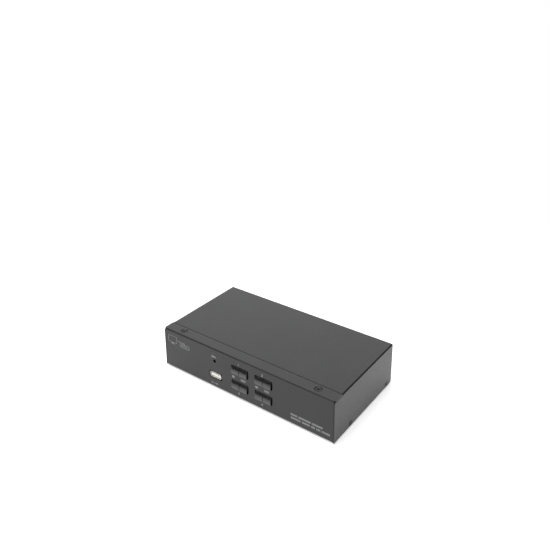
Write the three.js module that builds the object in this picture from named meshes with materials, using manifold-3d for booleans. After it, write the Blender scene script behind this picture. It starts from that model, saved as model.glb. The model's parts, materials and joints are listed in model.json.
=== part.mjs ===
// A four-port desktop KVM switch: a folded steel box with four pairs of push buttons,
// a USB socket and a reset pinhole on the front, and the computer sockets on the back.
// Millimetres, +Z up. The front faces -Y, and the origin is the middle of the footprint.

import * as THREE from 'three';
import { mergeVertices } from 'three/addons/utils/BufferGeometryUtils.js';
import Module from 'manifold-3d';

const wasm = await Module();
wasm.setup();

// ---------------------------------------------------------------- driving dimensions

const WIDTH = 210;
const DEPTH = 112;
const HEIGHT = 46;
const SHEET = 1;
const GAP = 0.3;

const LEFT = -WIDTH / 2;
const RIGHT = WIDTH / 2;
const FRONT = -DEPTH / 2;
const BACK = DEPTH / 2;
const TOP = HEIGHT;

const FOOT = { radius: 6, height: 1.2, insetX: 15, insetY: 13 };
const BOTTOM = FOOT.height + GAP;
const FLOOR = BOTTOM + SHEET;
const WALL_INSIDE = FRONT + SHEET;

const STRIP_DEPTH = 12.8;
const STRIP_REAR = FRONT + STRIP_DEPTH;
const SEAM = 0.6;
const STRIP_SEAT_GAP = 0.7;
const TRAY_BEND = 1.25;
const COVER_BEND = 1.5;
const TRAY_HALF = WIDTH / 2 - SHEET - GAP;
const SIDE_FLANGE = { height: 10.5, halfLength: 48 };
const REAR_FLANGE = 7;
const LIP = { front: STRIP_REAR - 10.3, half: 98 };
const SIDE_CORNER = { bottomRear: 2, topFront: 0.8 };

const SCREW = { shankRadius: 1.4, length: 6, headRim: 0.1, slotWidth: 0.9, slotDepth: 1.1 };
const STRIP_SCREW = { x: 83, y: FRONT + 7, headRadius: 2.9, sinkRadius: 3.75 };
const SIDE_SCREW = {
  ys: [FRONT + 29, FRONT + 101.2], z: BOTTOM + 3.5, headRadius: 2.4, sinkRadius: 3.1,
};

// Front panel: two columns and two rows of button windows, two caps in each window.
const WINDOW = { width: 21, height: 9.9, radius: 1, xs: [-3.15, 25.8], zs: [32.35, 15.35] };
const CAP = {
  width: 9.4, height: 8.1, split: 0.4, proud: 1.9, length: 11, edge: 0.4,
  crown: 1.5, lean: 0.4, faceSteps: 5,
  flange: 1.3, flangeFront: 1.6, flangeBack: 2.8, stemRadius: 1.5, stemLength: 2.3,
};
const CAP_FRONT = FRONT - CAP.proud;
const CAP_BACK = CAP_FRONT + CAP.length;
const PINHOLE = { x: -35.5, z: 31.9, radius: 1.8 };
const FRONT_USB = {
  x: -34.6, z: 15.75, width: 15, height: 6.4, depth: 14, proud: 0.1, cutGap: 0.6, cutDrop: 0.25,
};

// Circuit boards.
const BOARD = 1.6;
const FRONT_BOARD = { x0: -50, x1: 38, z0: 10.8, z1: 40, y: FRONT + 14.5 };
const MAIN_BOARD = { half: 98, y0: -38, y1: BACK - 2, z: FLOOR + 5 + GAP };
const UPPER_BOARD = { x0: -97, x1: 34, y0: 20, y1: BACK - 2, z: 22 };
const MAIN_TOP = MAIN_BOARD.z + BOARD;
const UPPER_TOP = UPPER_BOARD.z + BOARD;
const BOARD_HOLE = 1.6;
const STANDOFF_RADIUS = 3;
const FRONT_POSTS = [[-92, -32], [92, -32]];
const REAR_POSTS = [[-92, 26], [29, 26]];
const PAN = { radius: 2.8, height: 2, slotLength: 3.8 };
const SPACER_RADIUS = 3.1;
const SWITCH = { front: FRONT + 10, boreRadius: 1.9, boreDepth: 3, width: 19, height: 7.5 };
const RESET = { bodyWidth: 6, rodRadius: 1, front: FRONT + 6, back: FRONT + 11.4 };

// Rear panel: one column per computer, then the console sockets and the power inlet.
const COMPUTER_XS = [21, -13, -47, -81];
const CONSOLE_HDMI_X = 52;
const SHELL_WALL = 0.4;
const CUTOUT_GAP = 0.35;
const HDMI = { width: 15, height: 5.9, cut: 2, depth: 11.8, proud: 0.5 };
const USB_B = { width: 12, height: 10.9, cut: 2.2, depth: 16, proud: 0.5, offsetX: 5 };
const JACK = {
  width: 7, height: 7.6, depth: 12, collarRadius: 3, boreRadius: 1.8, boreDepth: 11,
  offsetX: -7.5, proud: CAP.proud,
};
const USB_STACK = { x: 71, width: 13.2, height: 15.6, depth: 16, proud: 0.5, web: 4.2 };
const AUDIO_STACK = { x: 84, height: 23.4, rise: 12 };
const POWER = {
  x: 95, width: 9, height: 11, depth: 14, noseRadius: 3.9, boreRadius: 3.1, boreDepth: 9,
  pinRadius: 1, proud: 0.2,
};
const LINK = { depth: 3, frontHalf: 14, frontHeight: 5, rearHalf: 18, rearY: 23 };

const FINE = 24;
const COARSE = 16;
const BEND_STEPS = 4;

// ---------------------------------------------------------------- materials

function paint(color, roughness, metalness) {
  return new THREE.MeshStandardMaterial({ color, roughness, metalness });
}

const BLACK_PAINT = paint(0x2c2d2e, 0.5, 0.2);
const BLACK_SCREW = paint(0x141414, 0.4, 0.8);
const BUTTON_PLASTIC = paint(0x191a1b, 0.22, 0);
const BLACK_PLASTIC = paint(0x161616, 0.5, 0);
const RUBBER = paint(0x1a1a1a, 0.9, 0);
const SOLDER_MASK = paint(0x1d4a2c, 0.45, 0);
const PLATED = paint(0xc9c4b6, 0.3, 1);
const BRASS = paint(0xb59a55, 0.35, 1);
const CREAM_PLASTIC = paint(0xe6dcc0, 0.5, 0);

// ---------------------------------------------------------------- solids

function solidOf(geometry) {
  const bare = geometry.clone();
  bare.deleteAttribute('normal');
  bare.deleteAttribute('uv');
  const merged = mergeVertices(bare, 1e-4);
  const mesh = new wasm.Mesh({
    numProp: 3,
    vertProperties: Float32Array.from(merged.attributes.position.array),
    triVerts: Uint32Array.from(merged.index.array),
  });
  return new wasm.Manifold(mesh);
}

function geometryOf(solid) {
  const mesh = solid.getMesh();
  const geometry = new THREE.BufferGeometry();
  geometry.setAttribute('position', new THREE.BufferAttribute(mesh.vertProperties, 3));
  geometry.setIndex(new THREE.BufferAttribute(mesh.triVerts, 1));
  geometry.computeVertexNormals();
  return geometry;
}

function join(solids) {
  return solids.reduce((whole, solid) => whole.add(solid));
}

function cut(solid, tools) {
  return tools.reduce((whole, tool) => whole.subtract(tool), solid);
}

function block([x0, x1], [y0, y1], [z0, z1]) {
  const geometry = new THREE.BoxGeometry(x1 - x0, y1 - y0, z1 - z0);
  geometry.translate((x0 + x1) / 2, (y0 + y1) / 2, (z0 + z1) / 2);
  return solidOf(geometry);
}

function span(centre, size) {
  return [centre - size / 2, centre + size / 2];
}

// Extrudes an outline along an axis. An outline along X is drawn in (y, z),
// along Y in (x, z), and along Z in (x, y).
const AXES = {
  x: (from) => new THREE.Matrix4().set(0, 0, 1, from, 1, 0, 0, 0, 0, 1, 0, 0, 0, 0, 0, 1),
  y: (from, to) => new THREE.Matrix4().set(1, 0, 0, 0, 0, 0, -1, to, 0, 1, 0, 0, 0, 0, 0, 1),
  z: (from) => new THREE.Matrix4().makeTranslation(0, 0, from),
};

function prism(outline, axis, [from, to], curveSegments = BEND_STEPS) {
  const options = { depth: to - from, bevelEnabled: false, curveSegments };
  const geometry = new THREE.ExtrudeGeometry(outline, options);
  geometry.applyMatrix4(AXES[axis](from, to));
  return solidOf(geometry);
}

// Turns a profile of [radius, distance] points about an axis through a point. Distance 0 is
// at the point, and the profile runs from there along the axis direction given.
const TURNS = {
  '+z': new THREE.Matrix4().makeRotationX(Math.PI / 2),
  '-z': new THREE.Matrix4().makeRotationX(-Math.PI / 2),
  '+y': new THREE.Matrix4(),
  '-y': new THREE.Matrix4().makeRotationX(Math.PI),
  '+x': new THREE.Matrix4().makeRotationZ(-Math.PI / 2),
  '-x': new THREE.Matrix4().makeRotationZ(Math.PI / 2),
};

function turned(profile, direction, [x, y, z], segments = COARSE) {
  const points = profile.map(([radius, distance]) => new THREE.Vector2(radius, distance));
  const geometry = new THREE.LatheGeometry(points, segments);
  geometry.applyMatrix4(TURNS[direction]);
  geometry.translate(x, y, z);
  return solidOf(geometry);
}

function rod(radius, length, direction, point, segments) {
  const profile = [[0, 0], [radius, 0], [radius, length], [0, length]];
  return turned(profile, direction, point, segments);
}

function roundedRectangle(x, y, width, height, radius) {
  const [x0, x1] = span(x, width);
  const [y0, y1] = span(y, height);
  const shape = new THREE.Shape();
  shape.absarc(x1 - radius, y0 + radius, radius, -Math.PI / 2, 0);
  shape.absarc(x1 - radius, y1 - radius, radius, 0, Math.PI / 2);
  shape.absarc(x0 + radius, y1 - radius, radius, Math.PI / 2, Math.PI);
  shape.absarc(x0 + radius, y0 + radius, radius, Math.PI, 1.5 * Math.PI);
  return shape;
}

// The cut edge of a sheet folded along a path. The path is its outside face, every fold
// turns left, and the sheet's thickness lies on the left of the path.
function foldedSheet(path, bendRadius) {
  const corners = path.map(([x, y]) => new THREE.Vector2(x, y));
  const outside = [corners[0]];
  const inside = [];
  const leftOf = (direction) => new THREE.Vector2(-direction.y, direction.x);
  const alongFrom = (i) => corners[i + 1].clone().sub(corners[i]).normalize();
  inside.push(corners[0].clone().addScaledVector(leftOf(alongFrom(0)), SHEET));
  for (let i = 1; i < corners.length - 1; i += 1) {
    const before = alongFrom(i - 1);
    const after = alongFrom(i);
    const centre = corners[i].clone().addScaledVector(before, -bendRadius)
      .addScaledVector(after, bendRadius);
    for (let step = 0; step <= BEND_STEPS; step += 1) {
      const angle = (step / BEND_STEPS) * Math.PI / 2;
      const ray = after.clone().multiplyScalar(-Math.cos(angle))
        .addScaledVector(before, Math.sin(angle));
      outside.push(centre.clone().addScaledVector(ray, bendRadius));
      inside.push(centre.clone().addScaledVector(ray, bendRadius - SHEET));
    }
  }
  const last = corners.length - 1;
  outside.push(corners[last]);
  inside.push(corners[last].clone().addScaledVector(leftOf(alongFrom(last - 1)), SHEET));
  return new THREE.Shape([...outside, ...inside.reverse()]);
}

// ---------------------------------------------------------------- fasteners

function crossSlot(direction, [x, y, z], length) {
  const { slotWidth, slotDepth } = SCREW;
  const deep = 2 * slotDepth;
  const bars = [[length, slotWidth], [slotWidth, length]].map(([a, b]) => {
    if (direction.endsWith('z')) {
      return block(span(x, a), span(y, b), span(z, deep));
    }
    return block(span(x, deep), span(y, a), span(z, b));
  });
  return join(bars);
}

// A countersunk head sinks into its 45 degree seat until GAP is left across the cone.
function sunkDepth({ headRadius, sinkRadius }) {
  return sinkRadius - headRadius - SCREW.headRim - GAP * Math.SQRT2;
}

const INWARDS = { '-z': [0, 0, -1], '+x': [1, 0, 0], '-x': [-1, 0, 0] };

function countersunkScrew(kind, direction, surface) {
  const { shankRadius, length, headRim } = SCREW;
  const { headRadius } = kind;
  const headTop = surface.map((value, i) => value + INWARDS[direction][i] * sunkDepth(kind));
  const profile = [
    [0, 0], [headRadius, 0], [headRadius, headRim], [shankRadius, headRim + headRadius - shankRadius],
    [shankRadius, length], [0, length],
  ];
  const slot = crossSlot(direction, headTop, 1.2 * headRadius);
  return turned(profile, direction, headTop, FINE).subtract(slot);
}

function countersunkHole(kind, direction, surface) {
  const { sinkRadius } = kind;
  const shank = SCREW.shankRadius + GAP;
  const depth = sunkDepth(kind) + SCREW.length + GAP;
  const profile = [[0, 0], [sinkRadius, 0], [shank, sinkRadius - shank], [shank, depth], [0, depth]];
  return turned(profile, direction, surface, FINE);
}

function panScrew([x, y], seat) {
  const headTop = seat + GAP + PAN.height;
  const profile = [
    [0, 0], [PAN.radius, 0], [PAN.radius, PAN.height], [SCREW.shankRadius, PAN.height],
    [SCREW.shankRadius, SCREW.length], [0, SCREW.length],
  ];
  const point = [x, y, headTop];
  return turned(profile, '-z', point).subtract(crossSlot('-z', point, PAN.slotLength));
}

// ---------------------------------------------------------------- connector outlines

// A socket outline standing on z, with two corners cut: below for HDMI, above for USB-B.
function cutCornerOutline(x, z, size, grow, cutsBelow) {
  const half = size.width / 2 + grow;
  const low = z - grow;
  const high = z + size.height + grow;
  const lowCut = cutsBelow ? size.cut : 0;
  const highCut = cutsBelow ? 0 : size.cut;
  const points = [
    [x - half + lowCut, low], [x + half - lowCut, low], [x + half, low + lowCut],
    [x + half, high - highCut], [x + half - highCut, high], [x - half + highCut, high],
    [x - half, high - highCut], [x - half, low + lowCut],
  ];
  return new THREE.Shape(points.map(([px, pz]) => new THREE.Vector2(px, pz)));
}

const hdmiOutline = (x, grow) => cutCornerOutline(x, MAIN_TOP + GAP, HDMI, grow, true);
const usbBOutline = (x, grow) => (
  cutCornerOutline(x + USB_B.offsetX, UPPER_TOP + GAP, USB_B, grow, false));
const frontUsbOutline = (grow, drop = 0) => roundedRectangle(
  FRONT_USB.x, FRONT_USB.z - drop, FRONT_USB.width + 2 * grow, FRONT_USB.height + 2 * grow,
  0.5 + grow);

// ---------------------------------------------------------------- case

function windowCutters() {
  const reach = [FRONT - SHEET, WALL_INSIDE + SHEET];
  const { width, height, radius } = WINDOW;
  return WINDOW.zs.flatMap((z) => WINDOW.xs.map(
    (x) => prism(roundedRectangle(x, z, width, height, radius), 'y', reach)));
}

function frontCutters() {
  const reach = [FRONT - SHEET, WALL_INSIDE + SHEET];
  const pinhole = rod(PINHOLE.radius, 3 * SHEET, '+y', [PINHOLE.x, FRONT - SHEET, PINHOLE.z]);
  const usb = prism(frontUsbOutline(FRONT_USB.cutGap, FRONT_USB.cutDrop), 'y', reach);
  return [...windowCutters(), pinhole, usb];
}

function jackCutter(x, z) {
  const radius = JACK.collarRadius + CUTOUT_GAP;
  return rod(radius, 3 * SHEET, '+y', [x, BACK - 2 * SHEET, z]);
}

function rearCutters() {
  const reach = [BACK - 2 * SHEET, BACK + SHEET];
  const hdmi = [...COMPUTER_XS, CONSOLE_HDMI_X].map(
    (x) => prism(hdmiOutline(x, CUTOUT_GAP), 'y', reach));
  const usbB = COMPUTER_XS.map((x) => prism(usbBOutline(x, CUTOUT_GAP), 'y', reach));
  const jacks = COMPUTER_XS.map((x) => jackCutter(x + JACK.offsetX, jackAxis(UPPER_TOP)));
  const console = [0, AUDIO_STACK.rise].map(
    (rise) => jackCutter(AUDIO_STACK.x, jackAxis(MAIN_TOP) + rise));
  const stackSpan = span(USB_STACK.x, USB_STACK.width + 2 * CUTOUT_GAP);
  const stackLow = MAIN_TOP + GAP - CUTOUT_GAP;
  const stackHigh = MAIN_TOP + GAP + USB_STACK.height + CUTOUT_GAP;
  const stack = block(stackSpan, reach, [stackLow, stackHigh]);
  const nose = POWER.noseRadius + CUTOUT_GAP;
  const power = rod(nose, 3 * SHEET, '+y', [POWER.x, BACK - 2 * SHEET, powerAxis()]);
  return [...hdmi, ...usbB, ...jacks, ...console, stack, power];
}

function standoffs() {
  const height = MAIN_BOARD.z - GAP - BOTTOM;
  return [...FRONT_POSTS, ...REAR_POSTS].map(
    ([x, y]) => rod(STANDOFF_RADIUS, height, '+z', [x, y, BOTTOM]));
}

function standoffBores() {
  const depth = MAIN_BOARD.z - GAP - FLOOR - SHEET;
  return [...FRONT_POSTS, ...REAR_POSTS].map(
    ([x, y]) => rod(BOARD_HOLE, depth + SHEET, '+z', [x, y, FLOOR + SHEET]));
}

function chassisTray() {
  const rearTop = TOP - SHEET - GAP;
  const fold = foldedSheet([
    [STRIP_REAR, TOP], [FRONT, TOP], [FRONT, BOTTOM], [BACK, BOTTOM], [BACK, rearTop],
    [BACK - REAR_FLANGE, rearTop],
  ], TRAY_BEND);
  const shell = prism(fold, 'x', [-TRAY_HALF, TRAY_HALF]);
  const ears = [-1, 1].map((side) => {
    const reach = side < 0 ? [LEFT, -TRAY_HALF + SHEET] : [TRAY_HALF - SHEET, RIGHT];
    return block(reach, [FRONT + TRAY_BEND, STRIP_REAR], [TOP - SHEET, TOP]);
  });
  const flangeSpan = [-SIDE_FLANGE.halfLength, SIDE_FLANGE.halfLength];
  const flanges = [-1, 1].map((side) => {
    const face = span(side * (TRAY_HALF - SHEET / 2), SHEET);
    return block(face, flangeSpan, [BOTTOM, BOTTOM + SIDE_FLANGE.height]);
  });
  const body = join([shell, ...ears, ...flanges, ...standoffs()]);
  return cut(body, [
    ...frontCutters(), ...rearCutters(), ...standoffBores(), ...screwHoles(),
  ]);
}

function stripScrewPoint(side) {
  return [side * STRIP_SCREW.x, STRIP_SCREW.y, TOP];
}

function sideScrewPoint(side, y) {
  return [side * WIDTH / 2, y, SIDE_SCREW.z];
}

function inwards(side) {
  return side < 0 ? '+x' : '-x';
}

function screwHoles() {
  return [-1, 1].flatMap((side) => [
    countersunkHole(STRIP_SCREW, '-z', stripScrewPoint(side)),
    ...SIDE_SCREW.ys.map((y) => countersunkHole(SIDE_SCREW, inwards(side), sideScrewPoint(side, y))),
  ]);
}

// The side panels seen from the side: lower along the front, where the strip lies on them.
function sideSilhouette() {
  const { bottomRear, topFront } = SIDE_CORNER;
  const stripSeat = TOP - SHEET - STRIP_SEAT_GAP;
  const shape = new THREE.Shape();
  shape.absarc(BACK - bottomRear, BOTTOM + bottomRear, bottomRear, -Math.PI / 2, 0);
  shape.lineTo(BACK, TOP);
  shape.lineTo(STRIP_REAR + SEAM, TOP);
  shape.lineTo(STRIP_REAR + SEAM, stripSeat);
  shape.absarc(FRONT + topFront, stripSeat - topFront, topFront, Math.PI / 2, Math.PI);
  shape.lineTo(FRONT, BOTTOM);
  return shape;
}

function topCover() {
  const fold = foldedSheet([[RIGHT, BOTTOM], [RIGHT, TOP], [LEFT, TOP], [LEFT, BOTTOM]], COVER_BEND);
  const folded = prism(fold, 'y', [FRONT, BACK]);
  const trimmed = folded.intersect(prism(sideSilhouette(), 'x', [LEFT - 1, RIGHT + 1]));
  const seat = TOP - SHEET - GAP;
  const across = [-LIP.half, LIP.half];
  const step = STRIP_REAR + SEAM;
  const lip = block(across, [LIP.front, step + SHEET], [seat - SHEET, seat]);
  const riser = block(across, [step, step + SHEET], [seat - SHEET, TOP - SHEET / 2]);
  return cut(join([trimmed, lip, riser]), screwHoles());
}

function foot() {
  const { radius, height } = FOOT;
  const bevel = height / 3;
  const profile = [[0, 0], [radius - bevel, 0], [radius, bevel], [radius, height], [0, height]];
  return turned(profile, '+z', [0, 0, 0], FINE);
}

// ---------------------------------------------------------------- front controls

// How far the crowned face of a cap has fallen back at a height above its middle. It is
// proudest below the middle, so the upper part leans back.
function crownDepth(z, faceHalf) {
  const proudest = -CAP.lean * faceHalf;
  return CAP.crown * ((z - proudest) / (faceHalf - proudest)) ** 2;
}

// A cap seen from the side: crowned face, eased edges and a retaining rib behind the panel.
function capOutline() {
  const half = CAP.height / 2;
  const { edge, flange, faceSteps } = CAP;
  const flangeAt = [CAP_FRONT + CAP.proud + CAP.flangeFront, CAP_FRONT + CAP.proud + CAP.flangeBack];
  const faceHalf = half - edge;
  const face = [];
  for (let step = -faceSteps; step <= faceSteps; step += 1) {
    const z = -faceHalf * (step / faceSteps);
    face.push([CAP_FRONT + crownDepth(z, faceHalf), z]);
  }
  const shoulderAt = (z) => CAP_FRONT + crownDepth(z, faceHalf) + edge;
  const points = [
    [shoulderAt(faceHalf), half], ...face, [shoulderAt(-faceHalf), -half],
    [flangeAt[0], -half], [flangeAt[0], -half - flange],
    [flangeAt[1], -half - flange], [flangeAt[1], -half],
    [CAP_BACK, -half], [CAP_BACK, half],
    [flangeAt[1], half], [flangeAt[1], half + flange],
    [flangeAt[0], half + flange], [flangeAt[0], half],
  ];
  return new THREE.Shape(points.map(([y, z]) => new THREE.Vector2(y, z)));
}

function buttonCap() {
  const body = prism(capOutline(), 'x', span(0, CAP.width));
  const ease = CAP.edge / Math.SQRT2;
  const trims = [-1, 1].map((side) => {
    const bar = new THREE.BoxGeometry(ease * 2, ease * 2, CAP.height + 4 * CAP.flange);
    bar.rotateZ(Math.PI / 4);
    bar.translate(side * CAP.width / 2, CAP_FRONT, 0);
    return solidOf(bar);
  });
  const stem = rod(CAP.stemRadius, CAP.stemLength + SHEET, '+y', [0, CAP_BACK - SHEET, 0]);
  return cut(body, trims).add(stem);
}

function capOffset(side) {
  return side * (CAP.width + CAP.split) / 2;
}

function switchBlock() {
  const { front, boreRadius, boreDepth, width, height } = SWITCH;
  const body = block(span(0, width), [front, FRONT_BOARD.y - GAP], span(0, height));
  const bores = [-1, 1].map(
    (side) => rod(boreRadius, boreDepth + SHEET, '+y', [capOffset(side), front - SHEET, 0]));
  return cut(body, bores);
}

function resetSwitch() {
  const { bodyWidth } = RESET;
  const { front, boreDepth } = SWITCH;
  const body = block(span(0, bodyWidth), [front, FRONT_BOARD.y - GAP], span(0, bodyWidth));
  const bore = rod(RESET.rodRadius + 2 * GAP, boreDepth + SHEET, '+y', [0, front - SHEET, 0]);
  return body.subtract(bore);
}

function resetPlunger() {
  return rod(RESET.rodRadius, RESET.back - RESET.front, '+y', [0, RESET.front, 0]);
}

function frontUsbShell() {
  const front = FRONT - FRONT_USB.proud;
  const back = front + FRONT_USB.depth;
  const outside = prism(frontUsbOutline(0), 'y', [front, back]);
  const inside = prism(frontUsbOutline(-SHELL_WALL), 'y', [front - SHEET, back - SHELL_WALL]);
  return outside.subtract(inside);
}

function frontUsbTongue() {
  const { x, z, width, height, depth, proud } = FRONT_USB;
  const front = FRONT - proud;
  const clearance = 2 * (SHELL_WALL + GAP);
  const base = block(
    span(x, width - clearance), [front + depth - 3.6, front + depth - SHELL_WALL - GAP],
    span(z, height - clearance));
  const blade = block(
    span(x, width - clearance - 0.8), [front + 0.8, front + depth - 3], [z - 1.9, z + 0.4]);
  return base.add(blade);
}

// ---------------------------------------------------------------- boards

function plate([x0, x1], [y0, y1], z, holes) {
  const board = block([x0, x1], [y0, y1], [z, z + BOARD]);
  return cut(board, holes.map(
    ([x, y]) => rod(BOARD_HOLE, BOARD + 2 * SHEET, '+z', [x, y, z - SHEET])));
}

function mainBoard() {
  const { half, y0, y1, z } = MAIN_BOARD;
  return plate([-half, half], [y0, y1], z, [...FRONT_POSTS, ...REAR_POSTS]);
}

function upperBoard() {
  const { x0, x1, y0, y1, z } = UPPER_BOARD;
  return plate([x0, x1], [y0, y1], z, REAR_POSTS);
}

function buttonBoard() {
  const { x0, x1, z0, z1, y } = FRONT_BOARD;
  return block([x0, x1], [y, y + BOARD], [z0, z1]);
}

// A hex spacer: its stud holds the main board down, and a screw enters it from above.
function hexSpacer([x, y]) {
  const low = MAIN_TOP + GAP;
  const high = UPPER_BOARD.z - GAP;
  const hex = rod(SPACER_RADIUS, high - low, '+z', [x, y, low], 6);
  const stud = rod(SCREW.shankRadius, low + SHEET - FLOOR - 2 * SHEET, '-z', [x, y, low + SHEET]);
  const bore = rod(BOARD_HOLE, SCREW.length, '-z', [x, y, high + SHEET]);
  return hex.add(stud).subtract(bore);
}

function frontLink() {
  const y = FRONT_BOARD.y + BOARD + GAP;
  const low = MAIN_TOP + GAP;
  return block([-LINK.frontHalf, LINK.frontHalf], [y, y + LINK.depth], [low, low + LINK.frontHeight]);
}

function rearLink() {
  const centre = (UPPER_BOARD.x0 + UPPER_BOARD.x1) / 2;
  return block(
    [centre - LINK.rearHalf, centre + LINK.rearHalf], span(LINK.rearY, LINK.depth),
    [MAIN_TOP + GAP, UPPER_BOARD.z - GAP]);
}

// ---------------------------------------------------------------- rear sockets

function rearShell(outlineAt, size, x) {
  const back = BACK + size.proud;
  const front = back - size.depth;
  const outside = prism(outlineAt(x, 0), 'y', [front, back]);
  const inside = prism(outlineAt(x, -SHELL_WALL), 'y', [front + SHELL_WALL, back + SHEET]);
  return outside.subtract(inside);
}

function hdmiTongue(x) {
  const front = BACK + HDMI.proud - HDMI.depth + SHELL_WALL + GAP;
  const z = MAIN_TOP + GAP + HDMI.height / 2 + 0.3;
  const base = block(span(x, 11), [front, front + 2.6], span(z, 3.4));
  const blade = block(span(x, 11), [front + 2, BACK + HDMI.proud - 1.6], span(z, 1.2));
  return base.add(blade);
}

function jackAxis(boardTop) {
  return boardTop + GAP + JACK.height / 2;
}

function jackBore(x, z) {
  const mouth = BACK + JACK.proud;
  return rod(JACK.boreRadius, JACK.boreDepth + SHEET, '-y', [x, mouth + SHEET, z]);
}

function jackCollar(x, z) {
  return rod(JACK.collarRadius, JACK.proud + 3 * SHEET, '-y', [x, BACK + JACK.proud, z], FINE);
}

function jackHousing(x, boardTop, height) {
  const back = BACK - SHEET - GAP;
  const low = boardTop + GAP;
  return block(span(x, JACK.width), [back - JACK.depth, back], [low, low + height]);
}

function audioJack(x) {
  const z = jackAxis(UPPER_TOP);
  return jackHousing(x, UPPER_TOP, JACK.height).add(jackCollar(x, z)).subtract(jackBore(x, z));
}

function audioStack() {
  const { x, height, rise } = AUDIO_STACK;
  const zs = [0, rise].map((up) => jackAxis(MAIN_TOP) + up);
  const body = join([jackHousing(x, MAIN_TOP, height), ...zs.map((z) => jackCollar(x, z))]);
  return cut(body, zs.map((z) => jackBore(x, z)));
}

function usbStack() {
  const { x, width, height, depth, proud, web } = USB_STACK;
  const back = BACK + proud;
  const low = MAIN_TOP + GAP;
  const body = block(span(x, width), [back - depth, back], [low, low + height]);
  const mouth = (height - web - 2 * SHELL_WALL) / 2;
  const pockets = [low + SHELL_WALL, low + height - SHELL_WALL - mouth].map((z) => block(
    span(x, width - 2 * SHELL_WALL), [back - depth + 4, back + SHEET], [z, z + mouth]));
  return cut(body, pockets);
}

function powerAxis() {
  return MAIN_TOP + GAP + POWER.height / 2;
}

function powerJack() {
  const { x, width, height, depth, noseRadius, boreRadius, boreDepth, pinRadius, proud } = POWER;
  const back = BACK - SHEET - GAP;
  const low = MAIN_TOP + GAP;
  const z = powerAxis();
  const mouth = BACK + proud;
  const body = block(span(x, width), [back - depth, back], [low, low + height]);
  const nose = rod(noseRadius, mouth - back + SHEET, '-y', [x, mouth, z], FINE);
  const bore = rod(boreRadius, boreDepth + SHEET, '-y', [x, mouth + SHEET, z], FINE);
  const pin = rod(pinRadius, boreDepth, '-y', [x, mouth - SHEET, z]);
  return body.add(nose).subtract(bore).add(pin);
}

// ---------------------------------------------------------------- assembly

const kvmSwitch = new THREE.Group();

function place(name, solid, material, [x, y, z] = [0, 0, 0]) {
  const mesh = new THREE.Mesh(geometryOf(solid), material);
  mesh.name = name;
  mesh.position.set(x, y, z);
  kvmSwitch.add(mesh);
}

const SIDES = [['left', -1], ['right', 1]];

function assembleCase() {
  place('chassis_tray', chassisTray(), BLACK_PAINT);
  place('top_cover', topCover(), BLACK_PAINT);
  for (const [side, sign] of SIDES) {
    const stripScrew = countersunkScrew(STRIP_SCREW, '-z', stripScrewPoint(sign));
    place(`strip_screw_${side}`, stripScrew, BLACK_SCREW);
    SIDE_SCREW.ys.forEach((y, i) => {
      const screw = countersunkScrew(SIDE_SCREW, inwards(sign), sideScrewPoint(sign, y));
      place(`side_screw_${side}_${['front', 'rear'][i]}`, screw, BLACK_SCREW);
    });
    for (const [end, y] of [['front', FRONT + FOOT.insetY], ['rear', BACK - FOOT.insetY]]) {
      const x = sign * (WIDTH / 2 - FOOT.insetX);
      place(`foot_${side}_${end}`, foot(), RUBBER, [x, y, 0]);
    }
  }
}

function assembleBoards() {
  place('main_board', mainBoard(), SOLDER_MASK);
  place('upper_board', upperBoard(), SOLDER_MASK);
  place('button_board', buttonBoard(), SOLDER_MASK);
  place('front_board_link', frontLink(), BLACK_PLASTIC);
  place('rear_board_link', rearLink(), BLACK_PLASTIC);
  SIDES.forEach(([side], i) => {
    place(`main_board_screw_${side}`, panScrew(FRONT_POSTS[i], MAIN_TOP), BLACK_SCREW);
    place(`board_spacer_${side}`, hexSpacer(REAR_POSTS[i]), BRASS);
    place(`upper_board_screw_${side}`, panScrew(REAR_POSTS[i], UPPER_TOP), BLACK_SCREW);
  });
}

function assembleFront() {
  WINDOW.zs.flatMap((z) => WINDOW.xs.map((x) => [x, z])).forEach(([x, z], port) => {
    place(`switch_block_${port + 1}`, switchBlock(), BLACK_PLASTIC, [x, 0, z]);
    for (const [side, sign] of SIDES) {
      const at = [x + capOffset(sign), 0, z];
      place(`button_cap_${port + 1}_${side}`, buttonCap(), BUTTON_PLASTIC, at);
    }
  });
  const pinhole = [PINHOLE.x, 0, PINHOLE.z];
  place('reset_switch', resetSwitch(), BLACK_PLASTIC, pinhole);
  place('reset_plunger', resetPlunger(), BLACK_PLASTIC, pinhole);
  place('front_usb_shell', frontUsbShell(), PLATED);
  place('front_usb_tongue', frontUsbTongue(), CREAM_PLASTIC);
}

function assembleRear() {
  COMPUTER_XS.forEach((x, i) => {
    place(`computer_hdmi_shell_${i + 1}`, rearShell(hdmiOutline, HDMI, x), PLATED);
    place(`computer_hdmi_tongue_${i + 1}`, hdmiTongue(x), BLACK_PLASTIC);
    place(`computer_usb_shell_${i + 1}`, rearShell(usbBOutline, USB_B, x), PLATED);
    place(`computer_audio_jack_${i + 1}`, audioJack(x + JACK.offsetX), BLACK_PLASTIC);
  });
  place('console_hdmi_shell', rearShell(hdmiOutline, HDMI, CONSOLE_HDMI_X), PLATED);
  place('console_hdmi_tongue', hdmiTongue(CONSOLE_HDMI_X), BLACK_PLASTIC);
  place('console_usb_stack', usbStack(), PLATED);
  place('console_audio_stack', audioStack(), BLACK_PLASTIC);
  place('power_jack', powerJack(), BLACK_PLASTIC);
}

assembleCase();
assembleBoards();
assembleFront();
assembleRear();

export default kvmSwitch;
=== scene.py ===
"""Looks of the KVM switch: paint, plastics, platings, printed marks and the small metal of its sockets.

The model is in metres, +Z up, with the front facing -Y. Sizes of pieces here are in millimetres.
"""
import json
import math
from collections import namedtuple

import bmesh
import bpy
import numpy as np
from mathutils import Matrix, Vector

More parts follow.
